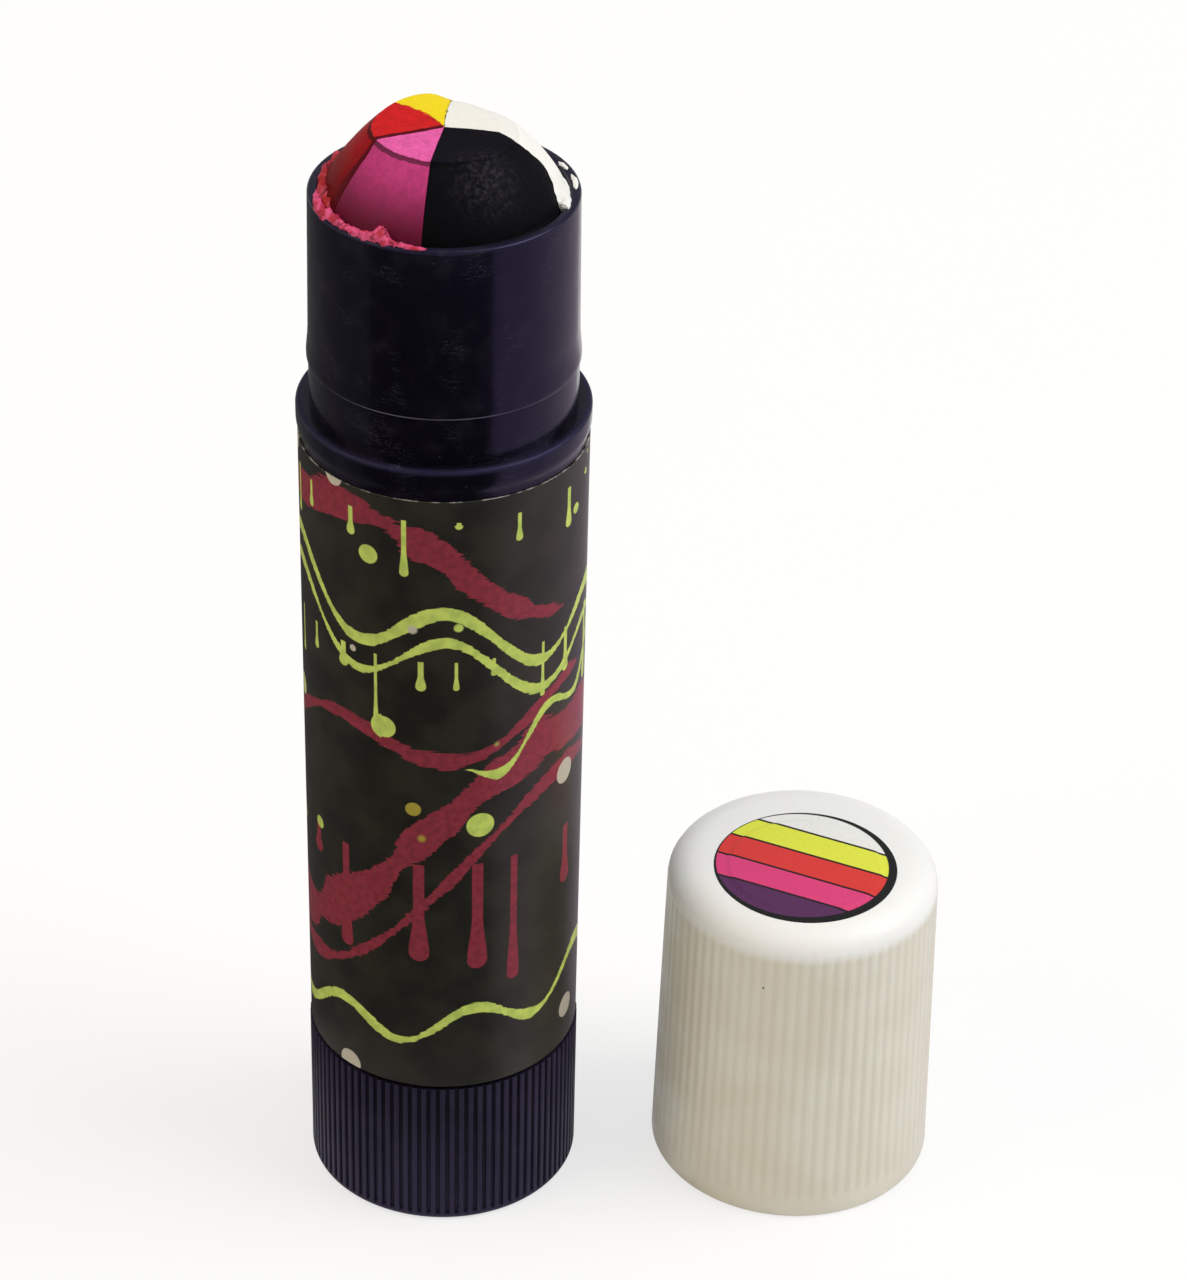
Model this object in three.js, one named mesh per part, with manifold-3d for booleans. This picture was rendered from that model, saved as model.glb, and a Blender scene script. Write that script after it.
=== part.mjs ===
// A twist-up stick of solid paint in five colours, with its cap taken off and standing beside it.
// Millimetres, +Z up. The origin is the centre of the dial's underside, on the table.
import * as THREE from 'three';
import { mergeGeometries, mergeVertices, toCreasedNormals } from 'three/addons/utils/BufferGeometryUtils.js';
import Module from 'manifold-3d';

const wasm = await Module();
wasm.setup();

// Paint stick
const stickRadius = 10.15;
const crownRadius = 5.9;
const crownAboveRim = 5.5;
const flankDrop = 5.8;
const flankTurnInset = 0.8;
const flankTurnDrop = 3.5;
const crownBelowRimWhenRetracted = 1;
const sectorGap = 0.05;
const castGap = 0.05;
const sectorStart = { violet: -98, white: -8, yellow: 87, red: 137, pink: 205 };

// Barrel
const boreClearance = 0.2;
const neckWall = 0.97;
const neckDraft = 0.06;
const neckHeight = 19.8;
const neckBeadHeight = 0.24;
const neckBeadStart = 4.15;
const neckBeadCrest = 4.8;
const neckBeadEnd = 6.6;
const rimRounding = 0.22;
const railHeight = 0.92;
const bodyWall = 1.1;
const bodyTaper = 0.17;
const bodyHeight = 65.5;
const collarLip = 0.26;
const collarHeight = 2.1;
const collarRounding = 0.35;
const collarChamfer = 0.2;
const shoulderThickness = 1.6;
const floorThickness = 1.8;
const spigotLength = 8;
const spigotWall = 1;
const spigotLeadIn = 0.35;

// Guide rails and the two keys that stop the carrier from turning
const railCount = 8;
const railWidth = 1.2;
const railAzimuth = 20;
const keyCount = 2;
const keyDepth = 0.45;
const keyClearance = 0.2;
const keyTopBelowRim = 8.2;

// Label
const labelThickness = 0.1;
const labelGlue = 0.03;
const labelBelowCollar = 0.9;
const labelSeam = 0.5;
const labelSeamAzimuth = 90;

// Twist dial
const dialHeight = 15.6;
const dialGap = 0.3;
const dialProud = 0.11;
const dialFloor = 1.8;
const dialWall = 0.85;
const dialEdge = 0.6;
const dialGripCount = 90;
const dialGripDepth = 0.25;
const dialGripWidth = 0.42;
const gripAzimuth = -90;
const snapDepth = 0.35;
const snapHeight = 0.5;
const snapSlope = 0.7;
const turnClearance = 0.15;
const hubWall = 1.6;
const hubGap = 0.5;
const hubWebCount = 4;
const hubWebWidth = 1;
const hubWebHeight = 4;

// Lead screw
const screwRadius = 3;
const threadDepth = 0.65;
const threadLead = 5;
const threadCrest = 1.2;
const threadRoot = 2;
const threadHand = -1;
const screwTip = 1.2;
const flangeRadius = 5.5;
const flangeThickness = 1.4;
const flangePlay = 0.2;
const journalRadius = 3;
const journalClearance = 0.2;
const shankRadius = 2.9;
const shankClearance = 0.12;
const shankDepth = 12;

// Carrier cup
const carrierFloor = 1.6;
const cupWall = 1.2;
const cupWallHeight = 6;
const cupBelowRim = 3;
const carrierStopGap = 0.3;
const nutWall = 1.5;
const nutClearance = 0.25;
const flankClearance = 0.25;
const nutEngaged = 4.5;
const finCount = 4;
const finWidth = 0.8;
const finHeight = 3.5;
const finAzimuth = 45;
const spindleClearance = 0.3;
const tipClearance = 0.5;

// Cap
const capX = 32.96;
const capY = 2.12;
const capHeight = 32.2;
const capWall = 1.38;
const capTaper = 0.7;
const capTopCorner = 3.1;
const capFootRounding = 0.5;
const capTopThickness = 1.9;
const capPlay = 0.1;
const capSeatStep = 0.85;
const capSeatGap = 0.3;
const capInnerCorner = 1.6;
const capMouthLeadIn = 0.3;
const capBeadBelowNeckBead = 0.6;
const capBeadWidth = 1.2;
const capGripCount = 72;
const capGripDepth = 0.18;
const capGripWidth = 0.5;
const capGripStart = 1.4;
const capGripEnd = 3.4;
const discRadius = 8.4;
const discThickness = 0.12;

// Fineness of the facets
const aroundBarrel = 48;
const aroundThread = 16;
const cornerSteps = 2;
const flankSteps = 4;
const creaseAngle = THREE.MathUtils.degToRad(28);
const weld = 1e-3;
const sunk = 0.2;

// Radii that follow from the sizes above
const neckBore = stickRadius + boreClearance;
const neckRadius = neckBore + neckWall;
const neckBase = neckRadius + neckDraft;
const neckBeadRadius = neckBase + neckBeadHeight;
const cavityRadius = neckBore + railHeight;
const bodyRadius = cavityRadius + bodyWall;
const bodyFoot = bodyRadius - bodyTaper;
const collarRadius = bodyRadius + collarLip;
const dialRadius = bodyFoot + labelGlue + labelThickness + dialProud;
const snapGroove = dialRadius - dialGripDepth - dialWall;
const dialBore = snapGroove - snapDepth;
const spigotRadius = dialBore - turnClearance;
const spigotBead = snapGroove - turnClearance;
const spigotBore = spigotRadius - spigotWall;
const bearingBore = journalRadius + journalClearance;
const socketRadius = shankRadius + shankClearance;
const hubRadius = socketRadius + hubWall;
const threadMinor = screwRadius - threadDepth;
const nutBore = screwRadius + nutClearance;
const nutRadius = nutBore + nutWall;
const cupBore = stickRadius - cupWall;
const paintBore = screwRadius + spindleClearance;
const keyRadius = stickRadius - keyDepth;
const capBore = neckBeadRadius + capPlay;
const capFoot = capBore + capWall;
const capTopRadius = capFoot - capTaper;

// Heights that follow from the sizes above
const bodyBottom = dialHeight + dialGap;
const shoulderLevel = bodyBottom + bodyHeight;
const rimLevel = shoulderLevel + neckHeight;
const floorLevel = bodyBottom + floorThickness;
const cavityTop = shoulderLevel - shoulderThickness;
const spigotBottom = bodyBottom - spigotLength;
const flangeBottom = floorLevel + flangePlay;
const flangeTop = flangeBottom + flangeThickness;
const carrierLowest = flangeTop + carrierStopGap;
const carrierLevel = carrierLowest + crownAboveRim + crownBelowRimWhenRetracted;
const cupHeight = carrierFloor + cupWallHeight;
const carrierHighest = rimLevel - cupBelowRim - cupHeight;
const screwTop = carrierHighest + nutEngaged;
const threadTop = screwTop - screwTip;
const keyTop = rimLevel - keyTopBelowRim;
const hubTop = bodyBottom - hubGap;
const shankBottom = hubTop - shankDepth;
const labelHeight = bodyHeight - collarHeight - labelBelowCollar;
const capSeat = neckHeight + capSeatGap;

// Turns a closed geometry into a solid for cutting and joining, with its faces pointing out.
function solid(geometry) {
  const bare = new THREE.BufferGeometry();
  bare.setAttribute('position', geometry.getAttribute('position'));
  bare.setIndex(geometry.getIndex());
  const merged = mergeVertices(bare, weld);
  const corners = merged.getIndex().array;
  const triangles = [];
  for (let i = 0; i < corners.length; i += 3) {
    const [a, b, c] = corners.slice(i, i + 3);
    if (a !== b && b !== c && c !== a) triangles.push(a, b, c);
  }
  const positions = merged.getAttribute('position');
  if (signedVolume(positions, triangles) < 0) triangles.reverse();
  return new wasm.Manifold(new wasm.Mesh({
    numProp: 3,
    vertProperties: new Float32Array(positions.array),
    triVerts: new Uint32Array(triangles),
  }));
}

function signedVolume(positions, triangles) {
  const [a, b, c] = [new THREE.Vector3(), new THREE.Vector3(), new THREE.Vector3()];
  let volume = 0;
  for (let i = 0; i < triangles.length; i += 3) {
    a.fromBufferAttribute(positions, triangles[i]);
    b.fromBufferAttribute(positions, triangles[i + 1]);
    c.fromBufferAttribute(positions, triangles[i + 2]);
    volume += a.dot(b.cross(c)) / 6;
  }
  return volume;
}

// A named mesh of a finished solid.
function piece(name, body, colour, roughness) {
  const mesh = body.getMesh();
  const geometry = new THREE.BufferGeometry();
  geometry.setAttribute('position', new THREE.BufferAttribute(mesh.vertProperties, mesh.numProp));
  geometry.setIndex(new THREE.BufferAttribute(mesh.triVerts, 1));
  const result = new THREE.Mesh(
    toCreasedNormals(geometry, creaseAngle),
    new THREE.MeshStandardMaterial({ color: colour, roughness, metalness: 0 }),
  );
  result.name = name;
  return result;
}

// A closed outline of corners [x, y, rounding], each rounding limited by its neighbours.
function roundedOutline(corners) {
  const path = new THREE.Path();
  const at = (i) => new THREE.Vector2(...corners[(i + corners.length) % corners.length].slice(0, 2));
  corners.forEach(([x, y, rounding = 0], i) => {
    const before = at(i - 1).sub(at(i));
    const after = at(i + 1).sub(at(i));
    const size = Math.min(rounding, before.length() / 2, after.length() / 2);
    const start = at(i).add(before.setLength(size));
    const end = at(i).add(after.setLength(size));
    if (i) path.lineTo(start.x, start.y);
    else path.moveTo(start.x, start.y);
    if (size) path.quadraticCurveTo(x, y, end.x, end.y);
  });
  path.closePath();
  return path.getPoints(cornerSteps);
}

// A solid turned about the Z axis from corners [radius, height, rounding].
function turned(corners, segments) {
  return solid(new THREE.LatheGeometry(roundedOutline(corners), segments).rotateX(Math.PI / 2));
}

function disc(radius, from, to, segments) {
  return turned([[0, from], [radius, from], [radius, to], [0, to]], segments);
}

function hexagon(cornerRadius, from, to) {
  const prism = new THREE.CylinderGeometry(cornerRadius, cornerRadius, to - from, 6);
  return solid(prism.rotateX(Math.PI / 2).translate(0, 0, (from + to) / 2));
}

// A bar that stands along +X: its side is an outline of [radius, height], and width is its thickness.
function radialBar(corners, width) {
  const side = new THREE.Shape(corners.map(([x, y]) => new THREE.Vector2(x, y)));
  const bar = new THREE.ExtrudeGeometry(side, { depth: width, bevelEnabled: false });
  return bar.rotateX(Math.PI / 2).translate(0, width / 2, 0);
}

function uprightBar(inner, outer, from, to, width) {
  return radialBar([[inner, from], [outer, from], [outer, to], [inner, to]], width);
}

// Copies of a bar at equal steps round the Z axis, the first at an azimuth in degrees.
function patterned(bar, count, azimuth) {
  const start = THREE.MathUtils.degToRad(azimuth);
  const step = (2 * Math.PI) / count;
  const copies = Array.from({ length: count }, (_, i) => bar.clone().rotateZ(start + i * step));
  return solid(mergeGeometries(copies));
}

// A ridge of a section [radius, height] wound along the thread's helix from one height towards another,
// in whole steps, so that its facets meet those of the core.
function helicalRidge(section, from, to) {
  const shape = new THREE.Shape(section.map(([x, y]) => new THREE.Vector2(x, y)));
  const steps = Math.floor(((to - from) / threadLead) * aroundThread);
  const turns = steps / aroundThread;
  const ridge = new THREE.ExtrudeGeometry(shape, { depth: turns, steps, bevelEnabled: false });
  const points = ridge.getAttribute('position');
  for (let i = 0; i < points.count; i += 1) {
    const turn = points.getZ(i);
    const angle = threadHand * turn * 2 * Math.PI;
    const radius = points.getX(i);
    const height = from + points.getY(i) + turn * threadLead;
    points.setXYZ(i, radius * Math.cos(angle), radius * Math.sin(angle), height);
  }
  return solid(ridge);
}

// One moulding: body, collar, neck with the cap's snap bead, floor, and the spigot that the dial turns on.
function barrel() {
  const shell = turned([
    [spigotBore, spigotBottom],
    [spigotRadius - spigotLeadIn, spigotBottom],
    [spigotBead, spigotBottom + snapSlope],
    [spigotBead, spigotBottom + snapSlope + snapHeight],
    [spigotRadius, spigotBottom + 2 * snapSlope + snapHeight],
    [spigotRadius, bodyBottom],
    [bodyFoot, bodyBottom],
    [bodyRadius, shoulderLevel - collarHeight],
    [collarRadius, shoulderLevel - collarHeight + collarChamfer],
    [collarRadius, shoulderLevel, collarRounding],
    [neckBase, shoulderLevel],
    [neckBase, shoulderLevel + neckBeadStart],
    [neckBeadRadius, shoulderLevel + neckBeadCrest, neckBeadHeight],
    [neckBase, shoulderLevel + neckBeadEnd],
    [neckRadius, rimLevel, rimRounding],
    [neckBore, rimLevel, rimRounding],
    [neckBore, cavityTop],
    [cavityRadius, cavityTop - railHeight],
    [cavityRadius, floorLevel],
    [bearingBore, floorLevel],
    [bearingBore, bodyBottom],
    [spigotBore, bodyBottom],
  ], aroundBarrel);
  const railRoot = cavityRadius + sunk;
  const rail = uprightBar(neckBore, railRoot, floorLevel - sunk, cavityTop, railWidth);
  const key = uprightBar(keyRadius, neckBore + sunk, floorLevel - sunk, keyTop, railWidth);
  return shell
    .add(patterned(rail, railCount, railAzimuth))
    .add(patterned(key, keyCount, railAzimuth));
}

// The printed film, wound once round the body, with its ends a seam apart at the back.
function labelWrap() {
  const slope = bodyTaper / (bodyHeight - collarHeight);
  const foot = bodyFoot + labelGlue;
  const head = foot + slope * labelHeight;
  const top = bodyBottom + labelHeight;
  const film = turned([
    [foot, bodyBottom],
    [foot + labelThickness, bodyBottom],
    [head + labelThickness, top],
    [head, top],
  ], aroundBarrel);
  const seam = uprightBar(foot - sunk, collarRadius, bodyBottom - sunk, top + sunk, labelSeam);
  return film.subtract(patterned(seam, 1, labelSeamAzimuth));
}

// The ribbed cup at the foot, with a snap groove for the spigot and a hub for the screw's shank.
function twistDial() {
  const lip = spigotBottom + 2 * snapSlope + snapHeight + turnClearance;
  const knob = turned([
    [0, 0],
    [dialRadius, 0, dialEdge],
    [dialRadius, dialHeight],
    [0, dialHeight],
  ], dialGripCount);
  const inside = turned([
    [hubRadius, dialFloor],
    [dialBore, dialFloor],
    [dialBore, spigotBottom - turnClearance - snapSlope],
    [snapGroove, spigotBottom - turnClearance],
    [snapGroove, lip - snapSlope],
    [dialBore, lip],
    [dialBore, dialHeight + sunk],
    [0, dialHeight + sunk],
    [0, hubTop],
    [hubRadius, hubTop],
  ], aroundBarrel);
  const webTop = dialFloor + hubWebHeight;
  const web = uprightBar(hubRadius - sunk, dialBore + sunk, dialFloor - sunk, webTop, hubWebWidth);
  const floor = dialRadius - dialGripDepth;
  const pitch = (dialRadius * 2 * Math.PI) / dialGripCount;
  const groove = uprightBar(floor, dialRadius + sunk, dialEdge, dialHeight + sunk, pitch - dialGripWidth);
  return knob
    .subtract(inside)
    .add(patterned(web, hubWebCount, 0))
    .subtract(hexagon(socketRadius, shankBottom, hubTop + sunk))
    .subtract(patterned(groove, dialGripCount, gripAzimuth));
}

// The spindle: hexagonal shank for the dial's hub, journal in the barrel's floor, flange, and coarse thread.
function leadScrew() {
  const shankTop = bodyBottom - hubGap / 2;
  const spindle = turned([
    [0, shankTop],
    [journalRadius, shankTop],
    [journalRadius, flangeBottom],
    [flangeRadius, flangeBottom],
    [flangeRadius, flangeTop],
    [threadMinor, flangeTop],
    [threadMinor, screwTop, threadMinor / 2],
    [0, screwTop],
  ], aroundThread);
  const shank = hexagon(shankRadius, shankBottom + shankClearance, shankTop + sunk);
  const thread = helicalRidge([
    [threadMinor - sunk, -threadRoot / 2],
    [threadMinor, -threadRoot / 2],
    [screwRadius, -threadCrest / 2],
    [screwRadius, threadCrest / 2],
    [threadMinor, threadRoot / 2],
    [threadMinor - sunk, threadRoot / 2],
  ], flangeTop, threadTop);
  return spindle.add(shank).add(thread);
}

// The cup that holds the stick's foot and climbs the screw. Its underside is at height 0 here.
function carrierCup() {
  const cup = turned([
    [nutRadius - sunk, 0],
    [stickRadius, 0],
    [stickRadius, cupHeight],
    [cupBore, cupHeight],
    [cupBore, carrierFloor],
    [nutRadius - sunk, carrierFloor],
  ], aroundBarrel);
  const nut = turned([
    [nutBore, 0],
    [nutRadius, 0],
    [nutRadius, cupHeight],
    [nutBore, cupHeight],
  ], aroundThread);
  const phase = THREE.MathUtils.euclideanModulo(flangeTop + threadLead / 2 - carrierLevel, threadLead);
  const turns = Math.ceil(cupHeight / threadLead) + 2;
  const crest = (threadLead - threadRoot) / 2 - flankClearance;
  const root = (threadLead - threadCrest) / 2 - flankClearance;
  const thread = helicalRidge([
    [threadMinor + nutClearance, -crest],
    [nutBore, -root],
    [nutBore + sunk, -root],
    [nutBore + sunk, root],
    [nutBore, root],
    [threadMinor + nutClearance, crest],
  ], phase - threadLead, phase + (turns - 1) * threadLead);
  return cup
    .add(nut)
    .add(thread.intersect(disc(nutRadius, 0, cupHeight, aroundThread)))
    .add(fins(0))
    .subtract(keyways(cupHeight));
}

// Upright fins between the cup's wall and its nut, that the paint is cast round.
function fins(allowance) {
  const top = carrierFloor + finHeight + allowance;
  const width = finWidth + 2 * allowance;
  const fin = uprightBar(nutRadius - sunk, cupBore + sunk, carrierFloor - sunk, top, width);
  return patterned(fin, finCount, finAzimuth);
}

// The two slots that pass over the barrel's keys, from the carrier's underside up to a height.
function keyways(top) {
  const depth = keyRadius - keyClearance;
  const slot = uprightBar(depth, stickRadius + sunk, -sunk, top, railWidth + 2 * keyClearance);
  return patterned(slot, keyCount, railAzimuth);
}

// The whole stick, cast into the cup and round the screw, with its hand-cut crown. Heights as in the cup.
function castStick() {
  const crown = rimLevel + crownAboveRim - carrierLevel;
  const outline = new THREE.Path();
  outline.moveTo(0, carrierFloor + castGap);
  outline.lineTo(cupBore - castGap, carrierFloor + castGap);
  outline.lineTo(cupBore - castGap, cupHeight + castGap);
  outline.lineTo(stickRadius, cupHeight + castGap);
  outline.lineTo(stickRadius, crown - flankDrop);
  outline.quadraticCurveTo(stickRadius - flankTurnInset, crown - flankTurnDrop, crownRadius, crown);
  outline.lineTo(0, crown);
  outline.closePath();
  const stick = new THREE.LatheGeometry(outline.getPoints(flankSteps), aroundBarrel).rotateX(Math.PI / 2);
  const bore = disc(paintBore, 0, screwTop - carrierLowest + tipClearance, aroundThread);
  const nutSpace = disc(nutRadius + castGap, 0, cupHeight + castGap, aroundThread);
  return solid(stick)
    .subtract(bore)
    .subtract(nutSpace)
    .subtract(fins(castGap))
    .subtract(keyways(keyTop - carrierLowest + keyClearance));
}

// A slice of round section between two azimuths in degrees, set back from both by half the sector gap.
function sector(from, to, height) {
  const [start, end] = [from, to].map(THREE.MathUtils.degToRad);
  const middle = (start + end) / 2;
  const tip = sectorGap / 2 / Math.sin((end - start) / 2);
  const reach = 3 * stickRadius;
  const edge = (angle) => new THREE.Vector2(
    tip * Math.cos(middle) + reach * Math.cos(angle),
    tip * Math.sin(middle) + reach * Math.sin(angle),
  );
  const corner = new THREE.Vector2(tip * Math.cos(middle), tip * Math.sin(middle));
  const shape = new THREE.Shape([corner, edge(start), edge(middle), edge(end)]);
  return solid(new THREE.ExtrudeGeometry(shape, { depth: height, bevelEnabled: false }));
}

// The paint's five colours, each a sector of the stick.
function paintSectors() {
  const stick = castStick();
  const colours = { violet: 0x16121f, white: 0xf1f0ea, yellow: 0xf2dc1e, red: 0xc62323, pink: 0xd9488f };
  const names = Object.keys(sectorStart);
  const height = rimLevel + crownAboveRim;
  return names.map((name, i) => {
    const end = i + 1 < names.length ? sectorStart[names[i + 1]] : sectorStart[names[0]] + 360;
    const body = stick.intersect(sector(sectorStart[name], end, height));
    return piece(`paint_${name}`, body, colours[name], 0.6);
  });
}

// The cap, mouth down: a thick tapering cup with fine grip grooves, a snap ring and a seat for the rim.
function capShell() {
  const beadLevel = neckBeadStart - capBeadBelowNeckBead;
  const upperBore = capBore - capSeatStep;
  const block = turned([
    [0, 0],
    [capFoot, 0, capFootRounding],
    [capTopRadius, capHeight, capTopCorner],
    [0, capHeight],
  ], capGripCount);
  const inside = turned([
    [0, -sunk],
    [capBore + capMouthLeadIn + sunk, -sunk],
    [capBore, capMouthLeadIn],
    [capBore, beadLevel - capBeadWidth / 2],
    [neckBase + capPlay, beadLevel],
    [capBore, beadLevel + capBeadWidth / 2],
    [capBore, capSeat],
    [upperBore, capSeat],
    [upperBore, capHeight - capTopThickness, capInnerCorner],
    [0, capHeight - capTopThickness],
  ], aroundBarrel);
  const side = (height) => capFoot - (capTaper * height) / capHeight;
  const grooveTop = capHeight - capGripEnd;
  const pitch = (capFoot * 2 * Math.PI) / capGripCount;
  const groove = radialBar([
    [side(capGripStart) - capGripDepth, capGripStart],
    [side(capGripStart) + sunk, capGripStart],
    [side(grooveTop) + sunk, grooveTop],
    [side(grooveTop) - capGripDepth, grooveTop],
  ], pitch - capGripWidth);
  return block.subtract(inside).subtract(patterned(groove, capGripCount, gripAzimuth + 180 / capGripCount));
}

const barrelGroup = new THREE.Group();
barrelGroup.add(
  piece('barrel', barrel(), 0x26223c, 0.42),
  piece('label_wrap', labelWrap(), 0x34322a, 0.5),
);

const dialGroup = new THREE.Group();
dialGroup.add(
  piece('twist_dial', twistDial(), 0x2c2848, 0.45),
  piece('lead_screw', leadScrew(), 0x2a2640, 0.45),
);

const stickGroup = new THREE.Group();
stickGroup.position.z = carrierLevel;
stickGroup.add(piece('carrier_cup', carrierCup(), 0x2a2640, 0.5), ...paintSectors());

const capGroup = new THREE.Group();
capGroup.position.set(capX, capY, 0);
capGroup.add(
  piece('cap_shell', capShell(), 0xe6e3d8, 0.4),
  piece('cap_disc', disc(discRadius, capHeight, capHeight + discThickness, aroundBarrel), 0xd8447c, 0.35),
);

const paintMarker = new THREE.Group();
paintMarker.add(barrelGroup, dialGroup, stickGroup, capGroup);

export default paintMarker;
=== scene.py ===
# A twist-up stick of solid paint in five colours with its cap beside it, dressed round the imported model.
# Sizes are in millimetres until a piece is finished, which brings it to the frame's metres.
import random
from math import atan2, cos, degrees, hypot, pi, radians, sin

import bmesh
import bpy
from mathutils import Matrix, Vector, noise


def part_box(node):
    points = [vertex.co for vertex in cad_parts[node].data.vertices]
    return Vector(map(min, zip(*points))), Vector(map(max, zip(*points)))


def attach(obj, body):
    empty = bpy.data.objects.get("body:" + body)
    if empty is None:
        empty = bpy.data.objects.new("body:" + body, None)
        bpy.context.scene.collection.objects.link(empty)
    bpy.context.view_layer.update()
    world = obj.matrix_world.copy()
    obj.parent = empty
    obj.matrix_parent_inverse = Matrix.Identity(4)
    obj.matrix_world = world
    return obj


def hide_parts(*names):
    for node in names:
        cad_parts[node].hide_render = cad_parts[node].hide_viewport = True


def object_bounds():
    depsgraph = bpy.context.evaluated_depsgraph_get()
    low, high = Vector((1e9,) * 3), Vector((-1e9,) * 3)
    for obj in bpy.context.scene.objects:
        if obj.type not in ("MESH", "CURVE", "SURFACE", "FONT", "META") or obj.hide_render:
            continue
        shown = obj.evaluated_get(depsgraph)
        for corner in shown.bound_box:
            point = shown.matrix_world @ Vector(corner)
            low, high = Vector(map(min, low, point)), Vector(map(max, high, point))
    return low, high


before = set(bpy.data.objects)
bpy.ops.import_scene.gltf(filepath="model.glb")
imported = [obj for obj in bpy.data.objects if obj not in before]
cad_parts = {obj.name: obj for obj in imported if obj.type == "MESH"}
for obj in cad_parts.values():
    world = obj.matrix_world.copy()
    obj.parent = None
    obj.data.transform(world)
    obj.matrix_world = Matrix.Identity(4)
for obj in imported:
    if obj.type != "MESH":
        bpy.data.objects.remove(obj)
cad_low, cad_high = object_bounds()

# Camera: it stands where the photograph's did, a little to the right of the marker and well above it,
# and was fitted to the outlines of the barrel, the neck, the dial and the cap.
camera_place = Vector((0.013176, -0.308485, 0.261002))
camera_pitch = radians(33.49)
camera_roll = radians(1.39)
camera_lens = 118.1

camera = bpy.data.objects.new("camera", bpy.data.cameras.new("camera"))
camera.data.lens = camera_lens
camera.data.clip_start = 0.01
camera.matrix_world = (
    Matrix.Translation(camera_place)
    @ Matrix.Rotation(pi / 2 - camera_pitch, 4, "X")
    @ Matrix.Rotation(camera_roll, 4, "Z")
)
bpy.context.collection.objects.link(camera)
bpy.context.scene.camera = camera
bpy.context.scene.view_settings.view_transform = "Standard"

# Barrel: one moulding of glossy violet-black plastic. Its spigot carries the dial, the label wraps its body,
# and the collar and the beaded neck take the cap. Eight rails and two keys guide the stick in its bore.
spigot_bore, spigot_radius, spigot_bead, spigot_length = 9.84, 10.84, 11.19, 8.0
spigot_lead, spigot_slope, spigot_flat = 0.35, 0.7, 0.5
body_radius, body_foot, body_foot_round = 12.37, 12.20, 0.12
collar_radius, collar_height, collar_lip, collar_chamfer, collar_blend = 12.63, 2.1, 0.35, 0.4, 0.3
neck_height, neck_base, neck_top, neck_bore = 19.8, 11.47, 11.32, 10.35
bead_radius, bead_start, bead_edge, bead_crest, bead_end = 11.64, 4.25, 4.4, 4.85, 6.6
bead_round, bead_edge_round, bead_blend = 0.2, 0.06, 0.7
rim_round = 0.3
cavity_radius, shoulder_wall, floor_wall, bearing_bore = 11.27, 1.6, 1.8, 3.2
rail_count, key_count, rail_width, rail_azimuth = 8, 2, 1.2, 20
key_radius, key_below_rim = 9.7, 8.2
moulding_steps, rounding_steps, merge_reach = 256, 6, 1e-4


def millimetres(node_name):
    """The lowest and highest corner of a node of the frame, in millimetres."""
    return [corner * 1000 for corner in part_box(node_name)]


def spun(shape, turn, steps):
    """Spins what a shape holds about the Z axis."""
    bmesh.ops.spin(
        shape, geom=shape.verts[:] + shape.edges[:], axis=(0, 0, 1), cent=(0, 0, 0), angle=turn, steps=steps,
    )


def turned(corners, steps, turn=2 * pi, repeats=16):
    """A shape of even wedges from azimuth 0, spun about Z from corners (radius, height, rounding)."""
    shape = bmesh.new()
    verts = [shape.verts.new((corner[0], 0, corner[1])) for corner in corners]
    pairs = list(zip(verts, verts[1:]))
    if corners[0][0] > 0 or corners[-1][0] > 0:
        pairs.append((verts[-1], verts[0]))
    for pair in pairs:
        shape.edges.new(pair)
    for vert, corner in zip(verts, corners):
        if len(corner) > 2:
            bmesh.ops.bevel(
                shape, geom=[vert], offset=corner[2], offset_type="OFFSET", affect="VERTICES",
                segments=rounding_steps, profile=0.5, material=-1,
            )
    spun(shape, turn / repeats, steps // repeats)
    wedge = shape.verts[:] + shape.edges[:] + shape.faces[:]
    for number in range(1, repeats):
        copied = bmesh.ops.duplicate(shape, geom=wedge)["geom"]
        round_axis_turn = Matrix.Rotation(number * turn / repeats, 3, "Z")
        copied_verts = [item for item in copied if isinstance(item, bmesh.types.BMVert)]
        bmesh.ops.rotate(shape, matrix=round_axis_turn, verts=copied_verts)
    bmesh.ops.remove_doubles(shape, verts=shape.verts, dist=merge_reach)
    if turn < 2 * pi:
        open_edges = [edge for edge in shape.edges if edge.is_boundary]
        bmesh.ops.holes_fill(shape, edges=open_edges, sides=0)
    bmesh.ops.recalc_face_normals(shape, faces=shape.faces)
    return shape


def upright_bar(shape, inner, outer, low, high, width, azimuth):
    """Adds a bar that stands between two radii and two heights."""
    place = Matrix.Rotation(radians(azimuth), 4, "Z") @ Matrix.Translation(
        ((inner + outer) / 2, 0, (low + high) / 2)
    )
    size = Matrix.Diagonal((outer - inner, width, high - low, 1))
    bmesh.ops.create_cube(shape, size=1, matrix=place @ size)


def finished(name, shape, *materials, centre=(0, 0, 0), crease=32):
    """The named piece of a shape in millimetres: brought to metres, in its place, smooth up to a crease."""
    bmesh.ops.translate(shape, vec=centre, verts=shape.verts)
    bmesh.ops.scale(shape, vec=(0.001, 0.001, 0.001), verts=shape.verts)
    mesh = bpy.data.meshes.new(name)
    shape.to_mesh(mesh)
    shape.free()
    mesh.shade_smooth()
    mesh.set_sharp_from_angle(angle=radians(crease))
    for material in materials:
        mesh.materials.append(material)
    piece = bpy.data.objects.new(name, mesh)
    bpy.context.collection.objects.link(piece)
    return piece


def colour(red, green, blue):
    """A colour as it looks on a screen, 0 to 255, in Blender's linear values."""
    return *(((value / 255 + 0.055) / 1.055) ** 2.4 for value in (red, green, blue)), 1


def darker(shade, share):
    """A share of a screen colour's light."""
    return tuple(value * share for value in shade)


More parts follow.
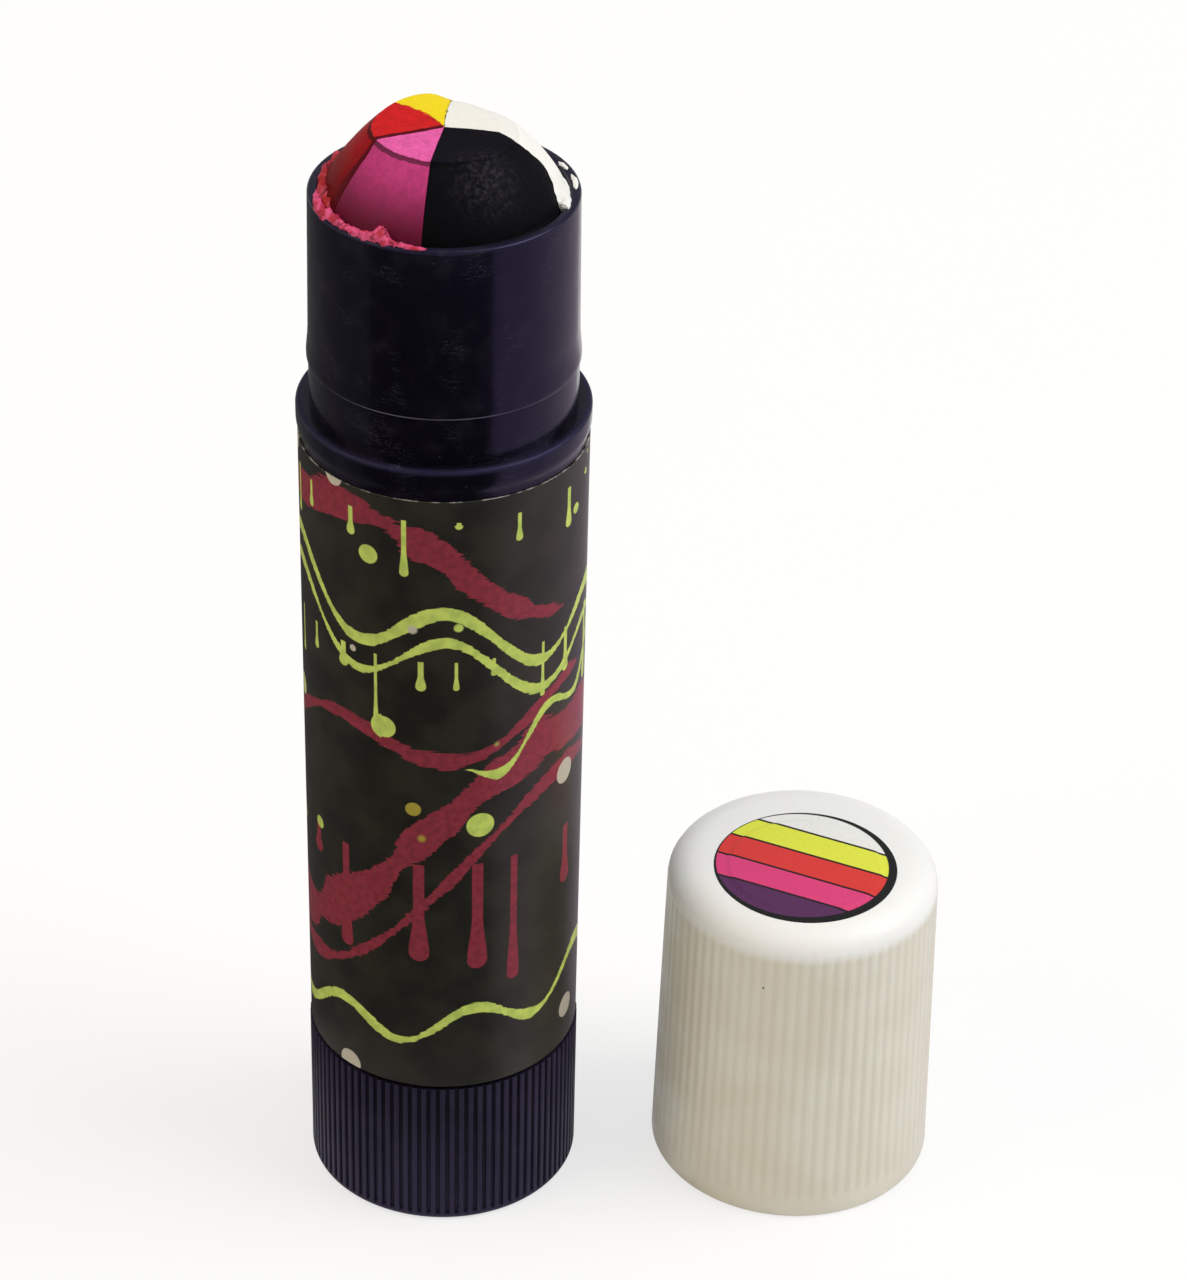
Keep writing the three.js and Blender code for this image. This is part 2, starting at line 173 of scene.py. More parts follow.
def tree_of(values):
    """The node tree of the first socket among some values."""
    return next(value.id_data for value in values if isinstance(value, bpy.types.NodeSocket))


def feed(socket, value):
    """Sets a node's input to a value, or joins it to another node's output."""
    if isinstance(value, bpy.types.NodeSocket):
        socket.id_data.links.new(value, socket)
    else:
        socket.default_value = value


def node(kind, inputs, tree=None, **settings):
    """A shader node with its settings and inputs, in a given tree or in the one that feeds it."""
    made = (tree or tree_of(inputs.values())).nodes.new("ShaderNode" + kind)
    for name, value in settings.items():
        setattr(made, name, value)
    for name, value in inputs.items():
        feed(made.inputs[name], value)
    return made


def maths(operation, *values):
    """The result of a Math node."""
    return node("Math", dict(enumerate(values)), tree_of(values), operation=operation).outputs[0]


def ramp(value, start, end, low=0.0, high=1.0):
    """A value eased from low at start to high at end."""
    inputs = {"Value": value, "From Min": start, "From Max": end, "To Min": low, "To Max": high}
    return node("MapRange", inputs, interpolation_type="SMOOTHSTEP").outputs["Result"]


def clouds(place, scale, detail, **more):
    """A cloudy value over a place, finer with its scale and more broken with its detail."""
    return node("TexNoise", {"Vector": place, "Scale": scale, "Detail": detail, **more}).outputs["Fac"]


def blended(mask, first, second):
    """The first colour where a mask is 0 and the second where it is 1, as screen colours or sockets."""
    made = node("Mix", {"Factor": mask}, data_type="RGBA")
    for name, value in (("A_Color", first), ("B_Color", second)):
        value = colour(*value) if isinstance(value, tuple) else value
        feed(next(item for item in made.inputs if item.identifier == name), value)
    return next(item for item in made.outputs if item.identifier == "Result_Color")


def new_group(name, inputs, outputs):
    """A shader node group of values: its tree, its inputs' sockets, and those that take its outputs."""
    tree = bpy.data.node_groups.new(name, "ShaderNodeTree")
    for side, sockets in (("INPUT", inputs), ("OUTPUT", outputs)):
        for socket in sockets:
            kind = "NodeSocketVector" if socket == "Place" else "NodeSocketFloat"
            tree.interface.new_socket(socket, in_out=side, socket_type=kind)
    return tree, tree.nodes.new("NodeGroupInput").outputs, tree.nodes.new("NodeGroupOutput").inputs


def grouped(group, **inputs):
    """The outputs of a node group placed in a material."""
    return node("Group", inputs, node_tree=group).outputs


def new_material(name, **constants):
    """A material, its Principled shader with constants set, and a piece's own coordinates in millimetres."""
    material = bpy.data.materials.new(name)
    material.use_nodes = True
    shader = material.node_tree.nodes["Principled BSDF"]
    for socket, value in constants.items():
        feed(shader.inputs[socket.replace("_", " ")], value)
    place = node("TexCoord", {}, material.node_tree).outputs["Object"]
    place = node("VectorMath", {0: place, "Scale": 1000.0}, operation="SCALE").outputs[0]
    return material, shader, place


def surfaced(shader, body, roughness, height, relief, depth):
    """Gives a shader its colour and roughness, and a bump from a height, as strong and as deep as given."""
    bump = node("Bump", {"Height": height, "Strength": relief, "Distance": depth})
    feed(shader.inputs["Base Color"], body)
    feed(shader.inputs["Roughness"], roughness)
    feed(shader.inputs["Normal"], bump.outputs[0])


def round_axis_group():
    """Where a point lies round the Z axis: its angle from the front in degrees, radius and height."""
    tree, given, result = new_group("round_axis", ("Place",), ("Angle", "Radius", "Height"))
    parts = node("SeparateXYZ", {0: given["Place"]}).outputs
    angle = maths("ARCTAN2", parts["X"], maths("MULTIPLY", parts["Y"], -1))
    across = node("CombineXYZ", {"X": parts["X"], "Y": parts["Y"]}).outputs[0]
    feed(result["Angle"], maths("DEGREES", angle))
    feed(result["Radius"], node("VectorMath", {0: across}, operation="LENGTH").outputs["Value"])
    feed(result["Height"], parts["Z"])
    return tree


def moulded_skin_group():
    """The skin of a moulding: a fine orange peel, sparse hair scratches and settled dust."""
    tree, given, result = new_group(
        "moulded_skin", ("Place", "Grain", "Scratches", "Dust"), ("Height", "Worn", "Dusty"),
    )
    place = given["Place"]
    peel = clouds(place, 2.6, 3.0)
    stretch = {"Vector": place, "Scale": (0.35, 0.35, 3.0), "Rotation": (0.5, 0.3, 0.2)}
    lines = clouds(node("Mapping", stretch).outputs[0], 2.2, 4.0, Distortion=0.6)
    hair = maths("ABSOLUTE", maths("SUBTRACT", lines, 0.5))
    scratched = maths("MULTIPLY", ramp(hair, 0.006, 0.0), ramp(clouds(place, 0.25, 2.0), 0.52, 0.66))
    worn = maths("MULTIPLY", scratched, given["Scratches"])
    specks = node("TexVoronoi", {"Vector": place, "Scale": 1.1}).outputs
    size = node("TexWhiteNoise", {"Vector": specks["Position"]}).outputs["Value"]
    mote = maths("LESS_THAN", specks["Distance"], ramp(size, 0.8, 1.0, 0.0, 0.1))
    dusty = maths("MAXIMUM", mote, ramp(clouds(place, 0.4, 5.0), 0.45, 0.8, 0.0, 0.25))
    height = maths("MULTIPLY", peel, given["Grain"])
    feed(result["Height"], maths("SUBTRACT", height, maths("MULTIPLY", worn, 0.3)))
    feed(result["Worn"], worn)
    feed(result["Dusty"], maths("MULTIPLY", dusty, given["Dust"]))
    return tree


round_axis = round_axis_group()
moulded_skin = moulded_skin_group()
gloss_tint, bead_highlight_colour = (188, 180, 255), (96, 92, 110)
scratch_shade, dust_shade = (112, 108, 130), (120, 116, 128)
groove_fade, neck_margin, collar_sheen_start, collar_sheen_end = 0.2, 0.3, 0.55, 0.15
rim_sheen_end, highlight_reach, highlight_core = 0.05, 0.12, 0.05


def dark_plastic(name, shade, roughness, gloss, groove_radius=None, edge_sheen_colour=None):
    """Violet-black plastic with a bluish gloss, painted shade in its grooves, and a painted sheen and bead
    highlight where given.
    """
    material, shader, place = new_material(name, Specular_IOR_Level=gloss, Specular_Tint=colour(*gloss_tint))
    skin = grouped(moulded_skin, Place=place, Grain=0.25, Scratches=0.5, Dust=0.14)
    where = grouped(round_axis, Place=place)
    tone = clouds(place, 0.12, 3.0)
    body = blended(ramp(tone, 0.3, 0.7), shade, darker(shade, 0.82))
    # Painted shade: the grooves are coloured darker towards their bottoms.
    if groove_radius:
        deep = ramp(where["Radius"], groove_radius + groove_fade, groove_radius)
        body = blended(deep, body, darker(shade, 0.45))
    sheen_and_dull = 0.0
    # Painted sheen: the collar's top edge and the rim are coloured a lighter navy, as if lit from above, and
    # are also made duller.
    if edge_sheen_colour:
        radius, height = where["Radius"], where["Height"]
        past_neck = ramp(radius, bead_radius + neck_margin, bead_radius + 2 * neck_margin)
        collar_top = ramp(height, shoulder_level - collar_sheen_start, shoulder_level - collar_sheen_end)
        rim = ramp(height, rim_level - rim_round, rim_level - rim_sheen_end, 0.0, 0.55)
        sheen_and_dull = maths("MAXIMUM", maths("MULTIPLY", past_neck, collar_top), rim)
        body = blended(sheen_and_dull, body, edge_sheen_colour)
        # Painted highlight: a thin paler navy line along the lower edge of the neck's bead.
        from_edge = maths("ABSOLUTE", maths("SUBTRACT", height, shoulder_level + bead_edge))
        highlight_mask = maths("MULTIPLY", ramp(from_edge, highlight_reach, highlight_core), ramp(tone, 0.2, 0.8, 0.1, 0.9))
        body = blended(highlight_mask, body, bead_highlight_colour)
    body = blended(skin["Worn"], body, scratch_shade)
    body = blended(skin["Dusty"], body, dust_shade)
    rough = maths("ADD", roughness, maths("MULTIPLY", skin["Dusty"], 0.5))
    rough = maths("ADD", rough, maths("MULTIPLY", tone, 0.08))
    surfaced(shader, body, maths("MULTIPLY_ADD", sheen_and_dull, 0.3, rough), skin["Height"], 0.18, 0.0001)
    return material


body_bottom = millimetres("label_wrap")[0].z
rim_level = millimetres("barrel")[1].z
shoulder_level = rim_level - neck_height
floor_level = body_bottom + floor_wall
cavity_top = shoulder_level - shoulder_wall
spigot_bottom = body_bottom - spigot_length
barrel_shape = turned([
    (spigot_bore, spigot_bottom),
    (spigot_radius - spigot_lead, spigot_bottom),
    (spigot_bead, spigot_bottom + spigot_slope),
    (spigot_bead, spigot_bottom + spigot_slope + spigot_flat),
    (spigot_radius, spigot_bottom + 2 * spigot_slope + spigot_flat),
    (spigot_radius, body_bottom),
    (body_foot, body_bottom, body_foot_round),
    (body_radius, shoulder_level - collar_height - collar_chamfer, collar_blend),
    (collar_radius, shoulder_level - collar_height + collar_chamfer, collar_blend),
    (collar_radius, shoulder_level, collar_lip),
    (neck_base, shoulder_level),
    (neck_base, shoulder_level + bead_start),
    (bead_radius - 0.02, shoulder_level + bead_edge, bead_edge_round),
    (bead_radius, shoulder_level + bead_crest, bead_round),
    (neck_base, shoulder_level + bead_end, bead_blend),
    (neck_top, rim_level, rim_round),
    (neck_bore, rim_level, rim_round),
    (neck_bore, cavity_top),
    (cavity_radius, cavity_top - (cavity_radius - neck_bore)),
    (cavity_radius, floor_level),
    (bearing_bore, floor_level),
    (bearing_bore, body_bottom),
    (spigot_bore, body_bottom),
], moulding_steps)
for rail in range(rail_count):
    azimuth = rail_azimuth + rail * 360 / rail_count
    upright_bar(barrel_shape, neck_bore, cavity_radius, floor_level, cavity_top, rail_width, azimuth)
for key in range(key_count):
    azimuth = rail_azimuth + key * 360 / key_count
    key_top = rim_level - key_below_rim
    upright_bar(barrel_shape, key_radius, neck_bore, floor_level, key_top, rail_width, azimuth)
# The barrel gets the painted sheen on its collar lip and rim, and the painted highlight line along its bead.
barrel_plastic = dark_plastic("barrel_plastic", (15, 13, 22), 0.14, 0.42, edge_sheen_colour=(26, 23, 44))
barrel = finished("barrel_moulding", barrel_shape, barrel_plastic)
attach(barrel, "barrel")
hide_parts("barrel")

# Label: a printed film wound once round the body and stuck down, with a narrow seam at the back. Its print
# is a loose pattern of brushed waves, drips and spots in dark red and lime on a charcoal ground.
label_foot, label_wall, label_seam, label_edge_round = 12.23, 0.1, 0.5, 0.03
cut_edge_start, cut_edge_end = 0.05, 0.01
label_low, label_high = millimetres("label_wrap")
label_height = label_high.z - label_low.z
label_slope = (body_radius - body_foot) / (shoulder_level - collar_height - body_bottom)
label_head = label_foot + label_slope * label_height
brush_form = ("Centre", "Slope", "Swing", "Wave", "Shift", "Width", "Ragged", "Start", "End")
red_brushes = (
    (27.0, 0.42, 5.5, 43.0, 0.4, 2.3, 1.8, -36.0, 36.0),
    (21.5, 0.42, 5.5, 43.0, 0.1, 0.8, 1.2, -30.0, 20.0),
    (55.5, -0.3, 3.0, 31.0, 2.6, 1.5, 1.5, -27.0, 13.0),
    (38.0, 0.12, 2.0, 24.0, 4.2, 0.7, 1.0, -24.0, 16.0),
)
lime_brushes = (
    (49.0, -0.16, 2.6, 17.0, 1.2, 0.62, 0.5, -34.0, 34.0),
    (46.0, -0.16, 2.6, 17.0, 1.2, 0.42, 0.5, -30.0, 26.0),
    (7.0, 0.1, 1.6, 13.0, 0.0, 0.5, 0.5, -32.0, 32.0),
    (33.0, 0.5, 1.4, 9.0, 0.6, 0.5, 0.5, 2.0, 30.0),
)
drip_form = ("Pitch", "Top", "Length", "Width", "Seed")
red_drips = ((5.4, 25.0, 17.0, 0.85, 3.0),)
lime_drips = ((3.7, 46.5, 9.0, 0.5, 11.0), (4.9, 60.5, 7.5, 0.42, 23.0))


def brushed_line_group():
    """A brushed line along the print: a wave of swelling width with a ragged edge, between two ends."""
    tree, given, result = new_group("brushed_line", ("Along", "Across", *brush_form), ("Mask",))
    along, across = given["Along"], given["Across"]
    flat = node("CombineXYZ", {"X": along, "Y": across}).outputs[0]
    turn = maths("MULTIPLY_ADD", maths("DIVIDE", along, given["Wave"]), 2 * pi, given["Shift"])
    line = maths("MULTIPLY_ADD", maths("SINE", turn), given["Swing"], given["Centre"])
    line = maths("MULTIPLY_ADD", along, given["Slope"], line)
    bristle = clouds(node("Mapping", {"Vector": flat, "Scale": (0.25, 2.4, 1.0)}).outputs[0], 1.6, 4.0)
    width = maths("MULTIPLY", given["Width"], ramp(clouds(flat, 0.13, 1.0), 0.3, 0.7, 0.45, 1.45))
    to_end = maths("SUBTRACT", given["End"], along)
    ends = maths("MINIMUM", maths("SUBTRACT", along, given["Start"]), to_end)
    width = maths("MULTIPLY", width, ramp(ends, 0.0, 3.0))
    rough = maths("MULTIPLY", maths("SUBTRACT", bristle, 0.5), given["Ragged"])
    away = maths("ADD", maths("ABSOLUTE", maths("SUBTRACT", across, line)), rough)
    mask = ramp(maths("SUBTRACT", width, away), -0.04, 0.06)
    feed(result["Mask"], maths("MULTIPLY", mask, ramp(ends, 0.2, 0.8)))
    return tree


def drips_group():
    """Drips that hang side by side, each of its own length and width, with a round drop at its end."""
    tree, given, result = new_group("drips", ("Along", "Across", *drip_form), ("Mask",))
    cell = maths("DIVIDE", given["Along"], given["Pitch"])
    number = maths("ADD", maths("FLOOR", cell), given["Seed"])
    draw = node("TexWhiteNoise", {"W": number}, noise_dimensions="1D").outputs
    own = node("SeparateColor", {0: draw["Color"]}).outputs
    off = maths("SUBTRACT", maths("FRACT", cell), ramp(own["Red"], 0.0, 1.0, 0.3, 0.7))
    side = maths("ABSOLUTE", maths("MULTIPLY", off, given["Pitch"]))
    length = maths("MULTIPLY", given["Length"], own["Green"])
    below = maths("SUBTRACT", given["Top"], given["Across"])
    past = maths("MAXIMUM", maths("SUBTRACT", below, length), 0.0)
    away = maths("SQRT", maths("ADD", maths("POWER", side, 2.0), maths("POWER", past, 2.0)))
    share = maths("DIVIDE", below, maths("ADD", length, 0.01))
    width = maths("MULTIPLY", given["Width"], ramp(own["Blue"], 0.0, 1.0, 0.55, 1.1))
    width = maths("MULTIPLY", width, ramp(share, 0.55, 1.0, 0.55, 1.0))
    mask = ramp(maths("SUBTRACT", width, away), -0.04, 0.06)
    feed(result["Mask"], maths("MULTIPLY", mask, maths("GREATER_THAN", below, 0.0)))
    return tree


def label_print(around, up):
    """The print's colour: the charcoal ground, then each ink over the one before."""
    brushed_line, drips = brushed_line_group(), drips_group()
    flat = node("CombineXYZ", {"X": around, "Y": up}).outputs[0]

    def mottled(scale, detail, first, second, start=0.3, end=0.7):
        return blended(ramp(clouds(flat, scale, detail), start, end), first, second)

    def printed_over(base, brushes, drops, ink):
        forms = [(brushed_line, brush_form, brush) for brush in brushes]
        forms += [(drips, drip_form, drop) for drop in drops]
        masks = [
            grouped(group, Along=around, Across=up, **dict(zip(names, values)))["Mask"]
            for group, names, values in forms
        ]
        mask = masks[0]
        for other in masks[1:]:
            mask = maths("MAXIMUM", mask, other)
        return blended(mask, base, ink)

    lime = mottled(0.9, 3.0, (170, 190, 84), (196, 214, 98))
    dark_red = mottled(1.5, 5.0, (122, 30, 48), (143, 38, 56))
    ground = mottled(0.2, 6.0, (30, 28, 22), (43, 40, 31), 0.35, 0.65)
    printed = printed_over(ground, red_brushes, red_drips, dark_red)
    printed = printed_over(printed, lime_brushes, lime_drips, lime)
    spots = node("TexVoronoi", {"Vector": flat, "Scale": 0.2}).outputs
    draw = node("TexWhiteNoise", {"Vector": spots["Position"]}).outputs
    size = ramp(draw["Value"], 0.3, 1.0, 0.0, 0.3)
    spot = ramp(maths("SUBTRACT", size, spots["Distance"]), 0.0, 0.02)
    own = node("SeparateColor", {0: draw["Color"]}).outputs
    pale = blended(ramp(own["Green"], 0.49, 0.51), (186, 178, 160), (160, 146, 40))
    return blended(spot, printed, blended(ramp(own["Blue"], 0.54, 0.56), pale, lime))


def label_film():
    """Satin printed film with a fine tooth, pale where its cut edges show the white core."""
    material, shader, place = new_material("label_film", Specular_IOR_Level=0.36)
    where = grouped(round_axis, Place=place)
    around = maths("MULTIPLY", where["Angle"], pi / 180 * body_radius)
    up = maths("SUBTRACT", where["Height"], label_low.z)
    grain = clouds(place, 9.0, 2.0)
    printed = blended(ramp(grain, 0.62, 0.75, 0.0, 0.1), label_print(around, up), (110, 104, 90))
    nick = ramp(clouds(place, 1.1, 5.0), 0.44, 0.6, 0.05, 0.85)
    edge = maths("MULTIPLY", ramp(up, label_height - cut_edge_start, label_height - cut_edge_end), nick)
    printed = blended(edge, printed, (190, 188, 180))
    waviness = maths("MULTIPLY", clouds(place, 0.16, 1.0), 1.5)
    height = maths("ADD", maths("MULTIPLY", grain, 0.2), waviness)
    surfaced(shader, printed, ramp(grain, 0.3, 0.7, 0.33, 0.45), height, 0.25, 0.0001)
    return material


seam_angle = label_seam / label_foot
label_shape = turned([
    (label_foot, label_low.z),
    (label_foot + label_wall, label_low.z, label_edge_round),
    (label_head + label_wall, label_high.z, label_edge_round),
    (label_head, label_high.z),
], moulding_steps, turn=2 * pi - seam_angle)
seam_place = Matrix.Rotation(pi / 2 + seam_angle / 2, 3, "Z")
bmesh.ops.rotate(label_shape, matrix=seam_place, verts=label_shape.verts)
label = finished("label", label_shape, label_film())
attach(label, "barrel")
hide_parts("label_wrap")

# Twist dial: a ribbed cup moulded in the barrel's plastic, snapped over the spigot. Ninety flat ribs run
# from just above its foot up to the label, and a hub inside holds the lead screw in a round socket.
dial_bore, dial_snap, dial_floor = 10.99, 11.34, 1.8
dial_clearance, dial_edge, dial_top_round, dial_top_gap = 0.15, 0.6, 0.08, 0.1
grip_count, grip_depth, grip_fade = 90, 0.25, 0.25
grip_sunk = (0, 0, 0, 0.1, 0.9, 1, 1, 1, 0.9, 0.1, 0, 0)
hub_radius, hub_top, socket_radius, socket_bottom = 4.62, 15.4, 3.02, 3.4
web_count, web_width, web_height = 4, 1.0, 4.0


def grooved(shape, count, sunk_shares, depth, low, high, fade, least_radius):
    """Sinks even grooves into the outside of a turned shape, each following the shares of one pitch."""
    columns = len(sunk_shares)
    step = 2 * pi / (count * columns)
    for vert in shape.verts:
        radius = hypot(vert.co.x, vert.co.y)
        if radius < least_radius or not low <= vert.co.z <= high:
            continue
        column = round(atan2(vert.co.y, vert.co.x) / step) % columns
        ends = min(1, (vert.co.z - low) / fade[0], (high - vert.co.z) / fade[1])
        shrink = 1 - depth * sunk_shares[column] * max(0, ends) / radius
        vert.co.x *= shrink
        vert.co.y *= shrink


dial_high = millimetres("twist_dial")[1]
dial_radius = dial_high.x
dial_top = dial_high.z - dial_top_gap
lip_level = spigot_bottom + 2 * spigot_slope + spigot_flat + dial_clearance
dial_shape = turned([
    (0, 0),
    (dial_radius, 0, dial_edge),
    (dial_radius, dial_edge + grip_fade),
    (dial_radius, dial_high.z / 2),
    (dial_radius, dial_top, dial_top_round),
    (dial_bore, dial_top),
    (dial_bore, lip_level),
    (dial_snap, lip_level - spigot_slope),
    (dial_snap, spigot_bottom - dial_clearance),
    (dial_bore, spigot_bottom - dial_clearance - spigot_slope),
    (dial_bore, dial_floor),
    (hub_radius, dial_floor),
    (hub_radius, hub_top),
    (socket_radius, hub_top),
    (socket_radius, socket_bottom),
    (0, socket_bottom),
], grip_count * len(grip_sunk), repeats=grip_count)
front = Matrix.Rotation(-pi / 2, 3, "Z")
bmesh.ops.rotate(dial_shape, matrix=front, verts=dial_shape.verts)
grooved(
    dial_shape, grip_count, grip_sunk, grip_depth, dial_edge, dial_high.z + 1,
    (grip_fade, 1), dial_radius - dial_edge / 2,
)
for web in range(web_count):
    azimuth = web * 360 / web_count
    upright_bar(dial_shape, hub_radius, dial_bore, dial_floor, dial_floor + web_height, web_width, azimuth)
# The grooves between the dial's ribs get painted shade.
dial_plastic = dark_plastic("dial_plastic", (45, 40, 61), 0.48, 0.22, dial_radius - grip_depth)
dial = finished("dial", dial_shape, dial_plastic)
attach(dial, "dial")
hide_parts("twist_dial")

# Lead screw and carrier cup: the works inside the barrel, which the model holds as they are. The screw turns
# with the dial and the cup climbs its coarse thread. Both are in the same dull plastic.
works_plastic = dark_plastic("works_plastic", (40, 36, 58), 0.5, 0.35)
for name in ("lead_screw", "carrier_cup"):
    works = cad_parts[name]
    works.data.materials.clear()
    works.data.materials.append(works_plastic)

# Paint stick: five colours of wax-bound paint cast side by side, then cut at the end to a flat crown with
# sloping flanks by hand. Each colour is a sector that keeps the stick's bore and foot.
paint_start = {"violet": -98, "white": -8, "yellow": 87, "red": 137, "pink": 205}
paint_crown = {
    "violet": (15, 13, 22), "white": (233, 232, 227), "yellow": (236, 212, 30),
    "red": (206, 33, 36), "pink": (230, 96, 170),
}
# The flank and low colours are painted light and shade: copies of each crown colour, darker down the slope
# for most colours and lighter for white.
shaded_flank_colours = {
    "violet": (11, 10, 16), "white": (240, 239, 232), "yellow": (226, 196, 24),
    "red": (156, 19, 27), "pink": (200, 62, 130),
}
shaded_low_colours = {
    "violet": (7, 6, 10), "white": (240, 239, 232), "yellow": (212, 182, 22),
    "red": (104, 12, 16), "pink": (106, 20, 52),
}
# Painted sheen: a paler mottled patch on the violet flank, with its centre, its reach and its colour.
sheen_place, sheen_reach, patch_sheen_colour = (3.7, -6.2, 105.2), 4.4, (78, 71, 86)
stick_radius, crown_radius, flank_drop, flank_inset, flank_turn = 10.15, 5.9, 5.8, 0.8, 3.5
stick_gap, foot_height, foot_radius = 0.05, 7.65, 8.9
nut_space, foot_level, paint_bore, bore_above = 4.8, 1.65, 3.3, 4.6
stick_steps, flank_rows = 288, 30
flank_top_rows = (0.978, 0.988, 0.995, 1)
wall_depths = (60, 40, 20, 7, 5, 4, 3, 2, 1)
crown_rings = (0.985, 0.95, 0.88, 0.78, 0.66, 0.54, 0.42, 0.3, 0.18)
crown_spread = (
    (-155, 0.0), (-97, 0.15), (-45, 0.2), (-10, -0.1), (20, -0.2), (55, -0.6), (82, -0.3), (108, 0.55),
    (165, 0.0),
)
crown_wear = (
    (-150, 0.02), (-60, 0.02), (-25, 0.22), (10, 0.3), (55, 0.5), (84, 0.35), (105, 0.05), (165, 0.1),
)
crown_lean, lean_azimuth = 0.031, -32
wear_reach, worn_width, same_level, hair_width = 3, 1.6, 1e-3, 0.01
crease_depth, crease_middle, crease_half = 0.07, 0.16, 0.14
lump_scale, knife_scale, grain_scale = 0.22, 1.1, 3.7
lump_height, knife_height, grain_height, knife_dip = 0.1, 0.04, 0.015, 0.03
joint_drift = {
    -8: ((0, 6), (3, 5), (4.5, 3.5), (5.2, -1), (5.95, -3.5), (6.6, -3.2), (7.2, -1.6), (8, 1), (8.5, 0.5),
         (9, -2.6), (9.5, -7.2), (9.85, -9), (10.05, -3), (10.2, 0)),
    87: ((0, 6), (2.5, 2), (5.4, -1), (10.2, -1)),
    137: ((0, -22), (2.4, -15), (4, -8), (5.5, -3), (10.2, 0)),
    205: ((0, 2), (5.7, -1), (7, 3), (10.2, 4)),
}
drift_reach, drift_onset = 26, 3


def read_off(stops, value):
    """A value read off smoothly between stops (place, value)."""
    for (low, before), (high, after) in zip(stops, stops[1:]):
        if low <= value <= high:
            share = (value - low) / (high - low)
            return before + (after - before) * share * share * (3 - 2 * share)
    return stops[-1][1]


def around_stick(stops, azimuth):
    """A value read off between stops (azimuth, value) that close a ring."""
    first = stops[0][0]
    return read_off((*stops, (first + 360, stops[0][1])), (azimuth - first) % 360 + first)


def flank_point(share):
    """Radius and depth below the crown on the sloping flank, from its foot (0) to the crown (1)."""
    corners = ((stick_radius, flank_drop), (stick_radius - flank_inset, flank_turn), (crown_radius, 0))
    weights = ((1 - share) ** 2, 2 * share * (1 - share), share**2)
    return [sum(w * corner[i] for w, corner in zip(weights, corners)) for i in (0, 1)]


def whole_stick(underside, crown):
    """The clean stick with its foot, its bore and its sloping flank, in rows fine enough to be worn."""
    flank_shares = sorted((*(row / flank_rows for row in range(flank_rows)), *flank_top_rows))
    return turned([
        (nut_space, underside + foot_level),
        (foot_radius, underside + foot_level),
        (foot_radius, underside + foot_height),
        (stick_radius, underside + foot_height),
        *((stick_radius, crown - flank_drop - depth) for depth in wall_depths),
        *((radius, crown - drop) for radius, drop in map(flank_point, flank_shares)),
        *((crown_radius * share, crown) for share in crown_rings),
        (0, crown),
        (0, crown - bore_above),
        (paint_bore, crown - bore_above),
        (paint_bore, underside + foot_height),
        (nut_space, underside + foot_height),
    ], stick_steps)


def joint_direction(azimuth, side):
    """The direction square to a joint between two colours, into the sector on that side of it."""
    return Vector((-side * sin(radians(azimuth)), side * cos(radians(azimuth)), 0))


def sector(shape, start, end):
    """Cuts a sector between two azimuths out of the stick and closes its two cut faces."""
    middle = radians((start + end) / 2)
    tip = stick_gap / 2 / sin(radians(end - start) / 2)
    corner = Vector((tip * cos(middle), tip * sin(middle), 0))
    for azimuth, side in ((start, 1), (end, -1)):
        cut = bmesh.ops.bisect_plane(
            shape, geom=shape.verts[:] + shape.edges[:] + shape.faces[:], dist=1e-5,
            plane_co=corner, plane_no=joint_direction(azimuth, side), clear_inner=True,
        )
        edges = [item for item in cut["geom_cut"] if isinstance(item, bmesh.types.BMEdge)]
        bmesh.ops.contextual_create(shape, geom=edges)
    bmesh.ops.recalc_face_normals(shape, faces=shape.faces)


def marked(shape, start, end, crown):
    """Marks each point with its distance below the crown's edge, and from the sector's two joints."""
    below, to_start, to_end = (
        shape.verts.layers.float.new(name) for name in ("below_edge", "to_start", "to_end")
    )
    for vert in shape.verts:
        on_crown = vert.co.z > crown - same_level
        radius = hypot(vert.co.x, vert.co.y)
        vert[below] = radius - crown_radius if on_crown else crown - vert.co.z
        vert[to_start] = vert.co.dot(joint_direction(start, 1))
        vert[to_end] = vert.co.dot(joint_direction(end, -1))


def drifted(place, radius, azimuth, height):
    """Where a point lies once the joints between the colours have wandered as they were cast."""
    for joint, stops in joint_drift.items():
        away = abs((azimuth - joint + 180) % 360 - 180)
        if away < drift_reach:
            share = 1 - away / drift_reach
            turn = radians(read_off(stops, radius)) * min(1, drift_onset * height)
            return Matrix.Rotation(turn * share * share * (3 - 2 * share), 3, "Z") @ place
    return place


